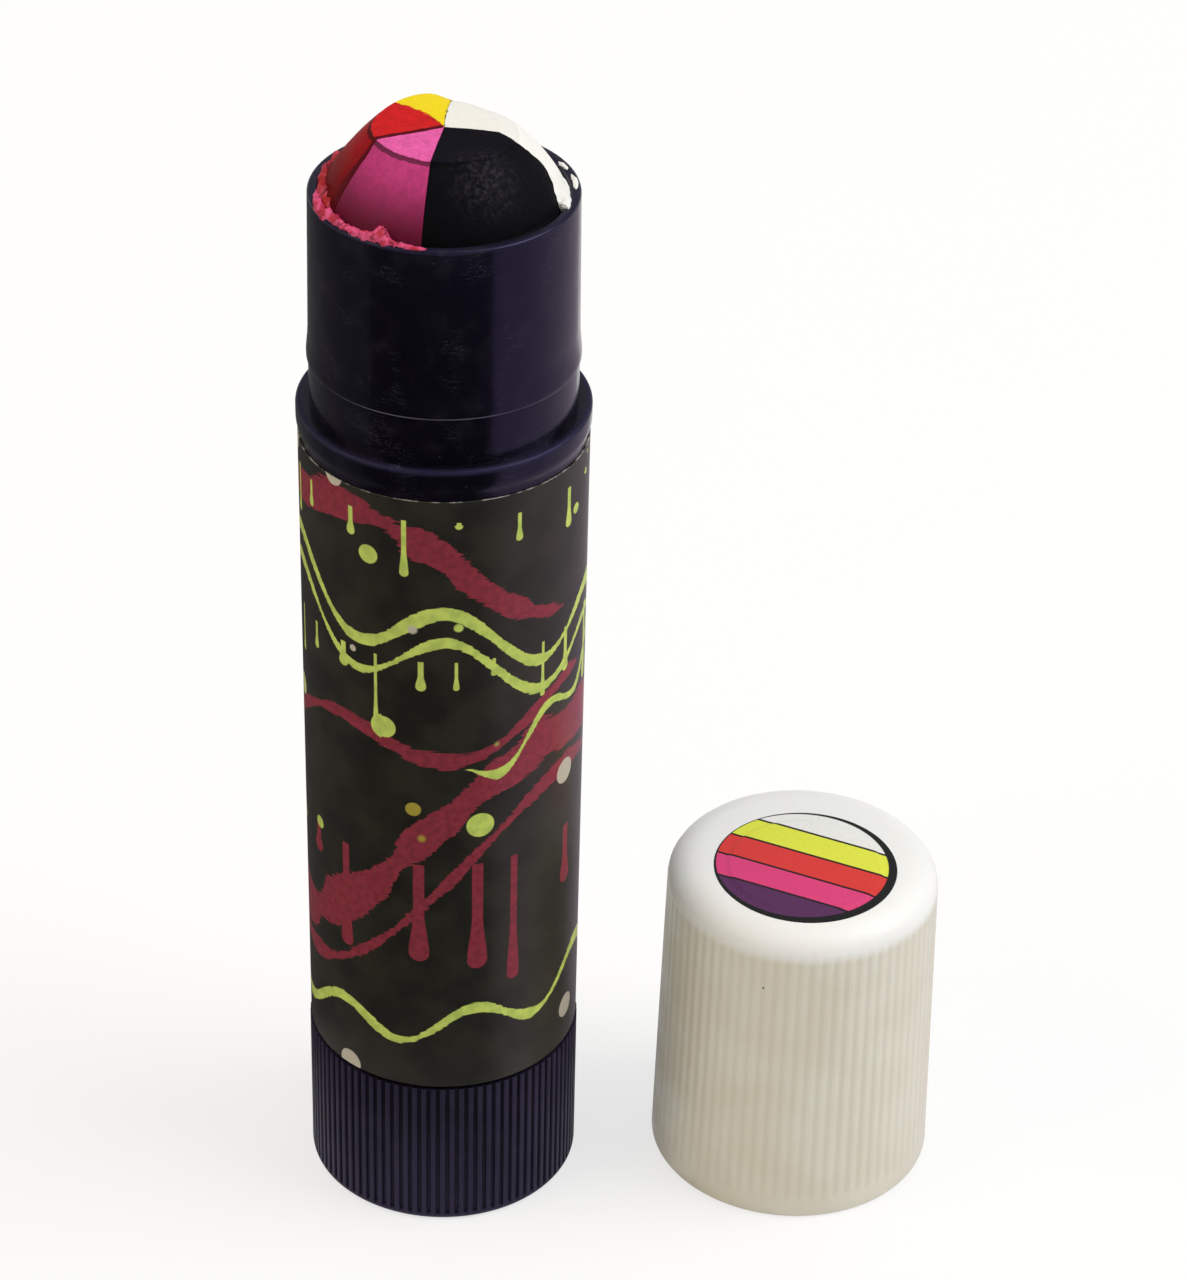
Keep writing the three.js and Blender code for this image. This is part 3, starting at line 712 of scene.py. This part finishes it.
def hand_cut(place, crown):
    """Where a point of the clean stick lies after the knife and some use."""
    height = max(0.0, min(1.0, (place.z - crown + flank_drop + wear_reach) / (flank_drop + wear_reach)))
    radius = hypot(place.x, place.y)
    in_bore = place.z < crown - bore_above + hair_width and radius < paint_bore + hair_width
    if radius < hair_width or in_bore or not height:
        return place
    azimuth = degrees(atan2(place.y, place.x))
    out = Vector((place.x, place.y, 0)) / radius
    below = crown - place.z if place.z < crown - same_level else radius - crown_radius
    spread = around_stick(crown_spread, azimuth)
    spread *= radius / crown_radius if below < 0 else max(0, 1 - below / flank_drop) ** 2
    downhill = Vector((cos(radians(lean_azimuth)), sin(radians(lean_azimuth)), 0))
    lean = crown_lean * max(0, place.dot(downhill))
    wear = around_stick(crown_wear, azimuth) * max(0, 1 - abs(below) / worn_width) ** 2
    crease = crease_depth * max(0, 1 - abs(below - crease_middle) / crease_half)
    lump = noise.noise(place * lump_scale + Vector((3, 1, 7)))
    knife, grain = noise.noise(place * knife_scale), noise.noise(place * grain_scale)
    rough = lump_height * lump + knife_height * knife + grain_height * grain
    moved = place + out * (spread + height * rough - crease)
    if place.z > crown - flank_drop:
        moved.z -= height * lean + wear + knife_dip * height * (1 + knife + grain)
    moved = drifted(moved, radius, azimuth, height)
    moved.z = min(moved.z, crown)
    if hypot(moved.x, moved.y) > stick_radius:
        moved -= out * (hypot(moved.x, moved.y) - stick_radius)
    return moved


def wax_skin_group():
    """The skin of cut wax paint: scrape marks, soft lumps and crumbs pressed in."""
    tree, given, result = new_group("wax_skin", ("Place",), ("Height", "Tone"))
    place = given["Place"]
    lump = clouds(place, 0.9, 6.0)
    scrape = clouds(node("Mapping", {"Vector": place, "Scale": (2.5, 2.5, 0.35)}).outputs[0], 1.2, 5.0)
    height = maths("MULTIPLY_ADD", clouds(place, 6.0, 4.0), 0.35, lump)
    feed(result["Height"], maths("MULTIPLY_ADD", scrape, 0.5, height))
    feed(result["Tone"], maths("MULTIPLY_ADD", scrape, 0.5, maths("MULTIPLY", lump, 0.5)))
    return tree


wax_skin = wax_skin_group()


def distance_mark(place, mark):
    """A distance marked on the stick's points, in millimetres."""
    return node("Attribute", {}, place.id_data, attribute_name=mark).outputs["Fac"]


def paint_marks(place, mark, reach, ragged, scale=2.2):
    """A mask that is 1 where a marked distance lies within a ragged reach."""
    rough = maths("MULTIPLY", maths("SUBTRACT", clouds(place, scale, 6.0), 0.5), ragged)
    within = maths("SUBTRACT", maths("ADD", rough, reach), distance_mark(place, mark))
    return ramp(within, -0.03, 0.03)


def wax_paint(name, joints, gloss, relief, sheen_strength):
    """Slightly waxy paint with painted shade on its flank, in its crown's crease and low lumps, joints
    smeared, and a painted sheen where given.
    """
    material, shader, place = new_material(f"paint_{name}", Specular_IOR_Level=gloss)
    skin = grouped(wax_skin, Place=place)
    below = distance_mark(place, "below_edge")
    flank = maths("SUBTRACT", 1.0, paint_marks(place, "below_edge", reach=0.04, ragged=0.12))
    # Painted shade: the flank takes the shaded flank colour, eased to the darker low colour towards its
    # foot.
    side = blended(ramp(below, 0.5, 5.0), shaded_flank_colours[name], shaded_low_colours[name])
    body = blended(flank, paint_crown[name], side)
    dark = darker(shaded_flank_colours[name], 0.5)
    # Painted shade: darker where the scrape marks and lumps lie low.
    body = blended(ramp(skin["Tone"], 0.34, 0.62, 0.32 * relief, 0.0), body, dark)
    # Painted shade: a dark line in the crease below the crown's edge.
    crease = paint_marks(place, "below_edge", reach=0.34, ragged=0.24, scale=1.1)
    crease = maths("MULTIPLY", flank, crease)
    body = blended(maths("MULTIPLY", crease, relief), body, dark)
    for mark, (shade, reach, low_reach, ragged) in zip(("to_start", "to_end"), joints):
        wide = ramp(below, 0.0, 4.5, reach, low_reach)
        body = blended(paint_marks(place, mark, wide, ragged), body, shade)
    # Painted sheen: paler mottled specks that fade out from the patch's centre.
    if sheen_strength:
        away = node("VectorMath", {0: place, 1: sheen_place}, operation="DISTANCE").outputs["Value"]
        specks = ramp(clouds(place, 2.3, 6.0, Roughness=0.7), 0.42, 0.7)
        highlight_mask = maths("MULTIPLY", specks, ramp(away, sheen_reach, 0.0))
        body = blended(maths("MULTIPLY", highlight_mask, sheen_strength), body, patch_sheen_colour)
    surfaced(shader, body, ramp(skin["Tone"], 0.3, 0.7, 0.48, 0.6), skin["Height"], 0.35, 0.0002)
    return material


underside = millimetres("carrier_cup")[0].z
crown_level = cad_high.z * 1000
sector_ends = [*list(paint_start.values())[1:], paint_start["violet"] + 360]
maroon, amber, olive = (88, 12, 22), (222, 104, 30), (150, 138, 60)
joint_smears = {
    "violet": ((shaded_flank_colours["violet"], 0.02, 0.02, 0.05), (shaded_flank_colours["violet"], 0.05, 0.05, 0.2)),
    "white": ((shaded_flank_colours["violet"], 0.03, 0.05, 0.16), (olive, 0.03, 0.1, 0.5)),
    "yellow": ((olive, 0.02, 0.1, 0.5), (amber, 0.12, 0.12, 0.9)),
    "red": ((amber, 0.0, 0.0, 0.8), (maroon, 0.46, 0.78, 0.34)),
    "pink": ((maroon, 0.04, 0.1, 0.2), (shaded_low_colours["pink"], 0.03, 0.06, 0.05)),
}
for (name, sector_start), sector_end in zip(paint_start.items(), sector_ends):
    paint_shape = whole_stick(underside, crown_level)
    sector(paint_shape, sector_start, sector_end)
    marked(paint_shape, sector_start, sector_end, crown_level)
    for vert in paint_shape.verts:
        vert.co = hand_cut(vert.co, crown_level)
    gloss = 0.05 if name in ("violet", "red") else 0.12
    # The next value sets how strong the painted shade in the crease and the low lumps is.
    relief = 0.1 if name in ("white", "yellow") else 0.9
    # The next value sets how strong the painted sheen patch is, on violet only.
    sheen_strength = 0.45 if name == "violet" else 0.0
    wax = wax_paint(name, joint_smears[name], gloss, relief, sheen_strength)
    paint = finished(f"{name}_paint", paint_shape, wax, crease=40)
    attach(paint, "carrier")
    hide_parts(f"paint_{name}")

# Smears and crumbs: soft paint dragged over the barrel's rim by use. A pink ridge with crumbs in it lies on
# the rim in front on the left, a red one leans on the stick beside it, and a little white lies at the right.
pink_smear_places = (
    (186, 10.5, 0.1), (192, 10.55, 0.32), (199, 10.75, 0.4), (206, 10.9, 0.42), (212, 10.75, 0.52),
    (216, 10.65, 0.44), (222, 10.75, 0.36), (229, 10.85, 0.36), (235, 10.85, 0.4), (239, 10.7, 0.5),
    (241.5, 10.5, 0.76), (245, 10.5, 0.74), (247.5, 10.7, 0.42), (251, 10.8, 0.27), (256, 10.9, 0.25),
    (262, 10.95, 0.22), (265, 10.95, 0.08),
)
red_smear_places = (
    (147, 10.1, 0.12), (151, 10.05, 0.4), (156, 9.95, 0.5), (161, 9.95, 0.36), (167, 10.0, 0.5),
    (172, 9.95, 0.42), (177, 9.95, 0.5), (183, 9.95, 0.42), (189, 9.95, 0.52), (195, 10.0, 0.4),
    (201, 10.0, 0.42), (205, 10.05, 0.12),
)
white_smear_places = (
    (-18, 10.3, 0.5), (-17, 10.32, 0.56), (-11, 10.2, 0.5), (-4, 10.05, 0.36), (6, 9.92, 0.3),
    (16, 9.85, 0.1),
)
long_fleck_places = ((1, 10.85, 0.08), (4, 10.85, 0.22), (11, 10.85, 0.24), (15, 10.8, 0.08))
short_fleck_places = ((20, 10.7, 0.06), (22, 10.7, 0.2), (26, 10.65, 0.22), (28.5, 10.6, 0.06))
smear_sides, smear_step, smear_ring, turn_slack = 14, 0.5, 10, 5
smear_lump, smear_bump, smear_grain = 0.45, 0.35, 0.15
smear_lump_scale, smear_bump_scale, smear_grain_scale = 1.3, 3.1, 7.3
smear_drift, smear_flat, smear_rise = 0.09, 0.7, 0.9


def dragged_paint(places, level, squash, seed, lumpy=1.0):
    """A lumpy ridge of paint round the stick, through places (azimuth, radius, half its width)."""
    first, last = places[0][0], places[-1][0]
    shape = bmesh.new()
    ring = bmesh.ops.create_circle(shape, segments=smear_sides, radius=1)["verts"]
    upright = Matrix.Translation((smear_ring, 0, 0)) @ Matrix.Rotation(pi / 2, 4, "X")
    bmesh.ops.transform(shape, matrix=Matrix.Rotation(radians(first), 4, "Z") @ upright, verts=ring)
    spun(shape, radians(last - first), round((last - first) / smear_step))
    bmesh.ops.holes_fill(shape, edges=[edge for edge in shape.edges if edge.is_boundary], sides=0)
    middles = [(azimuth, radius) for azimuth, radius, _ in places]
    widths = [(azimuth, width) for azimuth, _, width in places]
    for vert in shape.verts:
        azimuth = (degrees(atan2(vert.co.y, vert.co.x)) - first + turn_slack) % 360 + first - turn_slack
        azimuth = max(first, min(last, azimuth))
        out = Vector((cos(radians(azimuth)), sin(radians(azimuth)), 0))
        side = vert.co - out * smear_ring
        width, middle = read_off(widths, azimuth), read_off(middles, azimuth)
        drift = Vector((azimuth * smear_drift, seed, 0))
        lump = smear_lump * noise.noise(vert.co * smear_lump_scale + drift)
        lump += smear_bump * noise.noise(vert.co * smear_bump_scale + drift)
        lump += smear_grain * noise.noise(vert.co * smear_grain_scale)
        lump = 1 + lumpy * lump
        tallness = squash * (smear_flat + smear_rise * width)
        moved = out * (middle + side.dot(out) * width * lump)
        moved.z = level + side.z * width * lump * tallness
        along = 0.35 * width * noise.noise(vert.co * 2.3 + Vector((seed, 4, 1)))
        vert.co = Matrix.Rotation(along / middle, 3, "Z") @ moved
    bmesh.ops.recalc_face_normals(shape, faces=shape.faces)
    return shape


def crumbs(draws, count, azimuths, radii, heights, sizes):
    """Crumbs of paint strewn between two azimuths, radii and heights."""
    shape = bmesh.new()
    for _ in range(count):
        azimuth = radians(draws.uniform(*azimuths))
        radius, size = draws.uniform(*radii), draws.uniform(*sizes)
        place = Vector((radius * cos(azimuth), radius * sin(azimuth), draws.uniform(*heights)))
        squash = Matrix.Diagonal((1, draws.uniform(0.7, 1.5), draws.uniform(0.6, 1.1), 1))
        turned_place = Matrix.Translation(place) @ Matrix.Rotation(azimuth, 4, "Z") @ squash
        ball = bmesh.ops.create_icosphere(shape, subdivisions=3, radius=size, matrix=turned_place)
        for vert in ball["verts"]:
            vert.co = place + (vert.co - place) * (1 + 0.6 * noise.noise(vert.co / size * 0.9))
    return shape


def smear_paint(name, shades, scale):
    """Dragged paint: two colours run into each other, with painted shade in its hollows."""
    material, shader, place = new_material(name, Specular_IOR_Level=0.3)
    skin = grouped(wax_skin, Place=place)
    first, second, hollow_shadow = shades
    body = blended(ramp(clouds(place, scale, 5.0), 0.44, 0.56), first, second)
    body = blended(ramp(skin["Tone"], 0.52, 0.34), body, hollow_shadow)
    surfaced(shader, body, 0.5, skin["Height"], 0.4, 0.0003)
    return material


def smear_piece(name, shape, material, body):
    """A finished smear that rides on a body."""
    piece = finished(name, shape, material, crease=120)
    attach(piece, body)


draws = random.Random(7)
# Each smear's third colour is the painted shade in its hollows.
pink_paint = smear_paint("pink_smear", ((226, 84, 134), (186, 42, 70), (136, 24, 50)), 0.8)
red_paint = smear_paint("red_smear", ((208, 70, 94), (172, 28, 36), (104, 12, 22)), 0.9)
white_paint = smear_paint("white_smear", ((244, 243, 238), (240, 240, 236), (228, 227, 224)), 0.9)
pink_ridge = dragged_paint(pink_smear_places, rim_level + 0.02, 0.95, 2.0)
smear_piece("rim_smear", pink_ridge, pink_paint, "barrel")
rim_crumbs = crumbs(draws, 12, (196, 262), (10.5, 11.2), (rim_level, rim_level + 0.1), (0.06, 0.2))
smear_piece("rim_crumbs", rim_crumbs, pink_paint, "barrel")
red_ridge = dragged_paint(red_smear_places, rim_level - 0.1, 1.5, 6.0)
smear_piece("red_smear", red_ridge, red_paint, "carrier")
white_lip = dragged_paint(white_smear_places, rim_level, 0.6, 3.0, lumpy=0.3)
smear_piece("white_smear", white_lip, white_paint, "carrier")
for name, places in (("long_fleck", long_fleck_places), ("short_fleck", short_fleck_places)):
    fleck_shape = dragged_paint(places, rim_level, 0.7, 5.0, lumpy=0.8)
    smear_piece(f"rim_{name}", fleck_shape, white_paint, "barrel")

# Cap: a thick tapering cup in off-white plastic, mouth down on the table. Seventy-two shallow grooves fade
# out above its foot and below its rounded top, a bead inside snaps under the neck's, and a step seats on the
# barrel's rim.
cap_foot, cap_top, cap_bore = 13.10, 12.40, 11.72
cap_corner, cap_foot_round, cap_top_wall, cap_flat_gap = 3.1, 0.5, 1.9, 2
cap_upper_bore, cap_seat, cap_inner_corner = 10.87, 20.1, 1.6
cap_bead_level, cap_bead_radius, cap_bead_width, cap_bead_round, cap_lead = 3.3, 11.48, 1.2, 0.2, 0.3
cap_grip_count, cap_grip_depth = 72, 0.06
cap_grip_sunk = (0, 0.06, 0.25, 0.6, 0.9, 1, 1, 0.9, 0.6, 0.25, 0.06, 0)
cap_grip_low, cap_grip_high, cap_grip_fade, cap_grip_margin = 1.6, 30.4, 1.2, 0.3
cap_lit_top_start, cap_lit_top_end = 3.3, 1.8

cap_low, cap_high = millimetres("cap_shell")
cap_centre = (cap_low + cap_high) / 2
cap_centre.z = 0
cap_height = cap_high.z


def cap_side(height):
    """The cap's outer radius at a height on its tapering side."""
    return cap_foot - (cap_foot - cap_top) * height / cap_height


def cap_plastic():
    """Satin off-white plastic with a few dark specks, its ribbed side and grooves given painted shade,
    greyer and warmer than its top.
    """
    material, shader, place = new_material(
        "cap_plastic", Specular_IOR_Level=0.45, Subsurface_Weight=0.08, Subsurface_Scale=0.0008,
    )
    centred = node("VectorMath", {0: place, 1: cap_centre}, operation="SUBTRACT").outputs[0]
    skin = grouped(moulded_skin, Place=place, Grain=0.8, Scratches=0.3, Dust=0.1)
    where = grouped(round_axis, Place=centred)
    tone = clouds(place, 0.16, 5.0)
    # Painted shade: the side's colours are greyer and warmer than the top's.
    side = blended(ramp(tone, 0.3, 0.7), (227, 224, 210), (222, 216, 199))
    # Painted shade: the grooves are coloured darker towards their bottoms.
    taper = (cap_foot - cap_top) / cap_height
    deep = maths("SUBTRACT", maths("MULTIPLY_ADD", where["Height"], -taper, cap_foot), where["Radius"])
    side = blended(ramp(deep, 0.01, cap_grip_depth, 0.0, 0.14), side, (180, 170, 146))
    # Painted light: the top is eased to the lit white colour.
    top = ramp(where["Height"], cap_height - cap_lit_top_start, cap_height - cap_lit_top_end)
    body = blended(top, side, (243, 243, 241))
    specks = node("TexVoronoi", {"Vector": place, "Scale": 0.22}).outputs
    rare = node("TexWhiteNoise", {"Vector": specks["Position"]}).outputs["Value"]
    speck = maths("LESS_THAN", specks["Distance"], ramp(rare, 0.6, 1.0, 0.0, 0.05))
    body = blended(speck, body, (110, 102, 92))
    body = blended(skin["Worn"], body, (240, 240, 238))
    body = blended(skin["Dusty"], body, (178, 170, 154))
    surfaced(shader, body, ramp(tone, 0.3, 0.7, 0.36, 0.5), skin["Height"], 0.25, 0.0001)
    return material


cap_rows = (
    *(cap_grip_low + cap_grip_fade * share for share in (0, 0.5, 1)),
    cap_height / 2,
    *(cap_grip_high - cap_grip_fade * share for share in (1, 0.5)),
)
cap_shape = turned([
    (cap_bore + cap_lead, 0),
    (cap_foot, 0, cap_foot_round),
    *((cap_side(height), height) for height in cap_rows),
    (cap_top, cap_height, cap_corner),
    (cap_top - cap_corner - cap_flat_gap, cap_height),
    (0, cap_height),
    (0, cap_height - cap_top_wall),
    (cap_upper_bore, cap_height - cap_top_wall, cap_inner_corner),
    (cap_upper_bore, cap_seat),
    (cap_bore, cap_seat),
    (cap_bore, cap_bead_level + cap_bead_width / 2),
    (cap_bead_radius, cap_bead_level, cap_bead_round),
    (cap_bore, cap_bead_level - cap_bead_width / 2),
    (cap_bore, cap_lead),
], cap_grip_count * len(cap_grip_sunk), repeats=cap_grip_count)
bmesh.ops.rotate(cap_shape, matrix=front, verts=cap_shape.verts)
grooved(
    cap_shape, cap_grip_count, cap_grip_sunk, cap_grip_depth, cap_grip_low, cap_grip_high,
    (cap_grip_fade, cap_grip_fade), cap_top - cap_grip_margin,
)
cap = finished("cap", cap_shape, cap_plastic(), centre=cap_centre)
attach(cap, "cap")
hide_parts("cap_shell")

# Cap sticker: a round printed sticker pressed on the cap's top by hand, a little to the front, where its
# edge follows the rounded corner. Five plain bands of the stick's colours lie off centre in its black
# border.
disc_low, disc_high = millimetres("cap_disc")
sticker_radius = (disc_high.x - disc_low.x) / 2
sticker_step, sticker_edge_round = 0.1, 0.03
sticker_ring, sticker_ring_slope, sticker_ring_round = 6.9, 0.35, 0.1
sticker_edge_level = disc_high.z - sticker_step
sticker_edge_rings = (8.1, 7.8, 7.5)
sticker_shift, print_shift = Vector((0.1, -1.5, 0)), Vector((-0.28, 0.26, 0))
band_turn = radians(24)
band_colours = ((86, 38, 88), (222, 62, 124), (220, 56, 52), (226, 232, 70), (238, 238, 234))
border_width, line_width, print_blur = 0.5, 0.13, 0.03


def sticker_print():
    """Glossy printed film with five bands, thin black lines between them and a black border."""
    material, shader, place = new_material("disc_film", Specular_IOR_Level=0.5)
    print_centre = cap_centre + sticker_shift + print_shift
    centred = node("VectorMath", {0: place, 1: print_centre}, operation="SUBTRACT").outputs[0]
    where = grouped(round_axis, Place=centred)
    turned_print = node("VectorRotate", {"Vector": centred, "Angle": band_turn}, rotation_type="Z_AXIS")
    across = node("SeparateXYZ", {0: turned_print.outputs[0]}).outputs["Y"]
    print_radius = sticker_radius - border_width
    band_width = 2 * print_radius / len(band_colours)
    joints = [number * band_width - print_radius for number in range(1, len(band_colours))]
    body = band_colours[0]
    for joint, shade in zip(joints, band_colours[1:]):
        body = blended(maths("GREATER_THAN", across, joint), body, shade)
    for joint in joints:
        away = maths("ABSOLUTE", maths("SUBTRACT", across, joint))
        line = ramp(away, line_width + print_blur, line_width - print_blur)
        body = blended(line, body, (18, 14, 18))
    rim = ramp(where["Radius"], print_radius - print_blur, print_radius + print_blur)
    body = blended(rim, body, (16, 14, 16))
    fleck = clouds(place, 5.0, 3.0)
    body = blended(ramp(fleck, 0.68, 0.74, 0.0, 0.35), body, (40, 30, 36))
    surfaced(shader, body, ramp(fleck, 0.3, 0.7, 0.24, 0.4), fleck, 0.1, 0.0001)
    return material


sticker_shape = turned([
    (0, disc_low.z),
    (sticker_radius, disc_low.z),
    (sticker_radius, sticker_edge_level, sticker_edge_round),
    *((radius, sticker_edge_level) for radius in sticker_edge_rings),
    (sticker_ring + sticker_ring_slope, sticker_edge_level),
    (sticker_ring, disc_high.z, sticker_ring_round),
    (0, disc_high.z),
], moulding_steps)
bmesh.ops.translate(sticker_shape, vec=sticker_shift, verts=sticker_shape.verts)
for vert in sticker_shape.verts:
    past_flat = max(0, hypot(vert.co.x, vert.co.y) - cap_top + cap_corner)
    vert.co.z -= cap_corner - (cap_corner**2 - past_flat**2) ** 0.5
sticker = finished("cap_sticker", sticker_shape, sticker_print(), centre=cap_centre, crease=50)
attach(sticker, "cap")
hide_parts("cap_disc")

# Floor and light: a plain pale table under wide soft lamps, a strong one on the right, a weak warm one on
# the left and one overhead, in a dim even surround. Three cloths on the table are seen only in glossy
# reflections.
floor_reach, floor_glow = 3000, 0.68
floor_shades = (250, 250, 250), (247, 247, 247)
floor_shape = bmesh.new()
bmesh.ops.create_grid(floor_shape, x_segments=1, y_segments=1, size=floor_reach)
floor_material, floor_shader, floor_place = new_material("floor", Roughness=0.9, Specular_IOR_Level=0.0)
floor_tree = floor_material.node_tree
feed(floor_shader.inputs["Base Color"], blended(clouds(floor_place, 0.02, 2.0), *floor_shades))
rays = node("LightPath", {}, floor_tree).outputs
seen = maths("MAXIMUM", rays["Is Camera Ray"], rays["Is Glossy Ray"])
seen = maths("MAXIMUM", seen, rays["Is Transmission Ray"])
glow = node("Emission", {"Color": (1, 1, 1, 1), "Strength": 1.0}, floor_tree).outputs[0]
pale = node("MixShader", {"Fac": maths("MULTIPLY", seen, floor_glow), 1: floor_shader.outputs[0], 2: glow})
feed(floor_tree.nodes["Material Output"].inputs["Surface"], pale.outputs[0])
floor = finished("floor", floor_shape, floor_material)

world = bpy.data.worlds.new("surround")
world.use_nodes = True
bpy.context.scene.world = world
surround = world.node_tree.nodes["Background"].inputs
feed(surround["Color"], (1, 1, 1, 1))
feed(surround["Strength"], 0.3)
lamp_target = Vector((0.015, 0, 0.05))


def soft_lamp(name, place, size, power, shade=(1, 1, 1)):
    """A square soft lamp that faces the marker."""
    lamp = bpy.data.objects.new(name, bpy.data.lights.new(name, "AREA"))
    lamp.data.size, lamp.data.energy, lamp.data.color = size, power, shade
    lamp.location = place
    lamp.rotation_euler = (lamp_target - lamp.location).to_track_quat("-Z", "Y").to_euler()
    bpy.context.collection.objects.link(lamp)
    return lamp


soft_lamp("key_lamp", (1.22, -0.1, 1.4), 1.2, 20.5)
soft_lamp("fill_lamp", (-1.2, -0.4, 1.2), 1.0, 8.2, (1.0, 0.82, 0.52))
top_lamp = soft_lamp("top_lamp", (0.0, 0.3, 1.9), 1.6, 10.2)
top_lamp.visible_glossy = False

cloth_near, cloth_far, cloth_level, cloth_steps = 23, 420, 0.2, 32


def gloss_cloth(name, left, right, shade):
    """A cloth on the table between two azimuths, seen by reflections alone."""
    shape = bmesh.new()
    start = Matrix.Rotation(radians(left), 3, "Z")
    ends = [start @ Vector((radius, 0, cloth_level)) for radius in (cloth_near, cloth_far)]
    shape.edges.new([shape.verts.new(end) for end in ends])
    spun(shape, radians(right - left), cloth_steps)
    material = new_material(name, Base_Color=colour(*shade), Specular_IOR_Level=0.0)[0]
    cloth = finished(name, shape, material)
    cloth.visible_camera = cloth.visible_diffuse = cloth.visible_shadow = False


gloss_cloth("front_cloth", -150, -48, (6, 6, 7))
gloss_cloth("left_cloth", -255, -150, (96, 96, 98))
gloss_cloth("right_cloth", -48, 62, (191, 179, 198))
